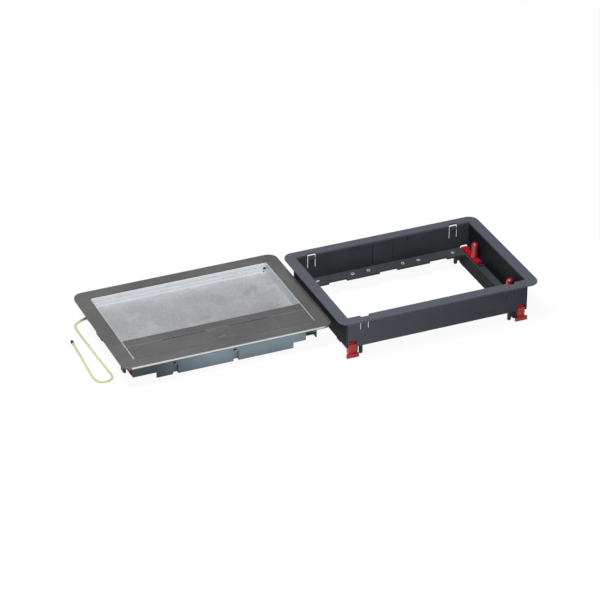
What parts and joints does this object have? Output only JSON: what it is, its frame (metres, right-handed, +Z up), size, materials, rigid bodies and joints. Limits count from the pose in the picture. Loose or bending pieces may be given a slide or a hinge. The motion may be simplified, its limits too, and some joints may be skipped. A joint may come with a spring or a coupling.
{
  "type": "floor socket box",
  "caption": "Floor socket box: a flanged base frame with rocking floor clamps, and beside it its cover unit with a hinged tray lid, cable flaps, push latch and earth wire.",
  "frame": {"origin": "middle of the whole part's footprint, on the ground", "axes": "+X along the long side from the cover unit to the base frame, +Y from the cable flaps to the lid's hinge, +Z up"},
  "size_m": [0.7063, 0.3008, 0.0705],
  "materials": {
    "frame_plastic": "moulded, satin black-grey",
    "black_plastic": "satin",
    "zinc_steel": "zinc plated",
    "dark_steel": "blackened",
    "brushed_rim": "fine brushed, dark grey",
    "foam": "closed-cell foam",
    "rubber": "soft, matt",
    "chassis_plastic": "moulded, blue-grey",
    "red_plastic": "moulded, semi-gloss",
    "tinned_copper": "tinned",
    "wire_sheath": "green and yellow insulation",
    "galvanised_sheet": "spangled zinc",
    "aluminium_profile": "extruded, bright"
  },
  "bodies": {
    "frame": {"base_frame": "frame_plastic", "support_feet": "black_plastic", "clamp_pins": "zinc_steel"},
    "cover": {"rim_plate": "brushed_rim", "rim_gasket": "foam", "rim_screws": "zinc_steel", "cover_chassis": "chassis_plastic", "lid_hinge_pins": "zinc_steel", "lid_seals": "rubber", "side_clips": "black_plastic", "retaining_catches": "red_plastic", "earth_tab": "zinc_steel", "earth_lug": "tinned_copper", "earth_screw": "zinc_steel", "earth_wire": "wire_sheath", "wire_cap": "black_plastic"},
    "lid": {"lid_strip": "brushed_rim", "lid_front_frame": "chassis_plastic", "tray_floor": "galvanised_sheet", "tray_wall_left": "aluminium_profile", "tray_wall_right": "aluminium_profile", "tray_wall_back": "aluminium_profile", "tray_rivets": "dark_steel", "tray_stiffeners": "galvanised_sheet", "flap_pins": "zinc_steel"},
    "flap_left": {"cable_flap_left": "brushed_rim"},
    "flap_right": {"cable_flap_right": "brushed_rim"},
    "button": {"latch_button": "brushed_rim", "button_spring": "dark_steel"},
    "bolt": {"latch_bolt": "zinc_steel"},
    "clamp_front_left": {"clamp_lever_front_left": "red_plastic"},
    "screw_front_left": {"clamp_knob_front_left": "red_plastic", "clamp_stud_front_left": "zinc_steel"},
    "clamp_front_right": {"clamp_lever_front_right": "red_plastic"},
    "screw_front_right": {"clamp_knob_front_right": "red_plastic", "clamp_stud_front_right": "zinc_steel"},
    "clamp_back_left": {"clamp_lever_back_left": "red_plastic"},
    "screw_back_left": {"clamp_knob_back_left": "red_plastic", "clamp_stud_back_left": "zinc_steel"},
    "clamp_back_right": {"clamp_lever_back_right": "red_plastic"},
    "screw_back_right": {"clamp_knob_back_right": "red_plastic", "clamp_stud_back_right": "zinc_steel"}
  },
  "joints": [
    {"name": "cover_slide", "type": "slide", "parent": "frame", "child": "cover", "axis": [-1, 0, 0], "range_m": [0, 0.1]},
    {"name": "lid_hinge", "type": "hinge", "parent": "cover", "child": "lid", "pos_m": [-0.16405, 0.12485, 0.037], "axis": [-1, 0, 0], "range_deg": [0, 95]},
    {"name": "flap_left_hinge", "type": "hinge", "parent": "lid", "child": "flap_left", "pos_m": [-0.21905, -0.03665, 0.0374], "axis": [-1, 0, 0], "range_deg": [0, 75]},
    {"name": "flap_right_hinge", "type": "hinge", "parent": "lid", "child": "flap_right", "pos_m": [-0.10905, -0.03665, 0.0374], "axis": [-1, 0, 0], "range_deg": [0, 75]},
    {"name": "button_press", "type": "slide", "parent": "lid", "child": "button", "axis": [0, 0, -1], "range_m": [0, 0.0025], "stiffness_N_per_m": 600, "springref_m": -0.001, "deforming": ["button_spring"]},
    {"name": "bolt_draw", "type": "slide", "parent": "lid", "child": "bolt", "axis": [0, 1, 0], "range_m": [0, 0.0035]},
    {"name": "clamp_front_left_rock", "type": "hinge", "parent": "frame", "child": "clamp_front_left", "pos_m": [0.02155, -0.12885, 0.024], "axis": [-1, 0, 0], "range_deg": [0, 12]},
    {"name": "screw_front_left_turn", "type": "hinge", "parent": "clamp_front_left", "child": "screw_front_left", "pos_m": [0.02155, -0.09335, 0.0265], "axis": [0, 0, -1], "range_deg": [0, 1800]},
    {"name": "clamp_front_right_rock", "type": "hinge", "parent": "frame", "child": "clamp_front_right", "pos_m": [0.31155, -0.12885, 0.024], "axis": [-1, 0, 0], "range_deg": [0, 12]},
    {"name": "screw_front_right_turn", "type": "hinge", "parent": "clamp_front_right", "child": "screw_front_right", "pos_m": [0.31155, -0.09335, 0.0265], "axis": [0, 0, -1], "range_deg": [0, 1800]},
    {"name": "clamp_back_left_rock", "type": "hinge", "parent": "frame", "child": "clamp_back_left", "pos_m": [0.02155, 0.06815, 0.024], "axis": [1, 0, 0], "range_deg": [0, 12]},
    {"name": "screw_back_left_turn", "type": "hinge", "parent": "clamp_back_left", "child": "screw_back_left", "pos_m": [0.02155, 0.03265, 0.0265], "axis": [0, 0, -1], "range_deg": [0, 1800]},
    {"name": "clamp_back_right_rock", "type": "hinge", "parent": "frame", "child": "clamp_back_right", "pos_m": [0.31155, 0.06815, 0.024], "axis": [1, 0, 0], "range_deg": [0, 12]},
    {"name": "screw_back_right_turn", "type": "hinge", "parent": "clamp_back_right", "child": "screw_back_right", "pos_m": [0.31155, 0.03265, 0.0265], "axis": [0, 0, -1], "range_deg": [0, 1800]}
  ],
  "couplings": [
    {"joint": "bolt_draw", "follows": "button_press", "ratio": 1.4},
    {"joint": "clamp_front_left_rock", "follows": "screw_front_left_turn", "ratio": 0.0066667},
    {"joint": "clamp_front_right_rock", "follows": "screw_front_right_turn", "ratio": 0.0066667},
    {"joint": "clamp_back_left_rock", "follows": "screw_back_left_turn", "ratio": 0.0066667},
    {"joint": "clamp_back_right_rock", "follows": "screw_back_right_turn", "ratio": 0.0066667}
  ]
}
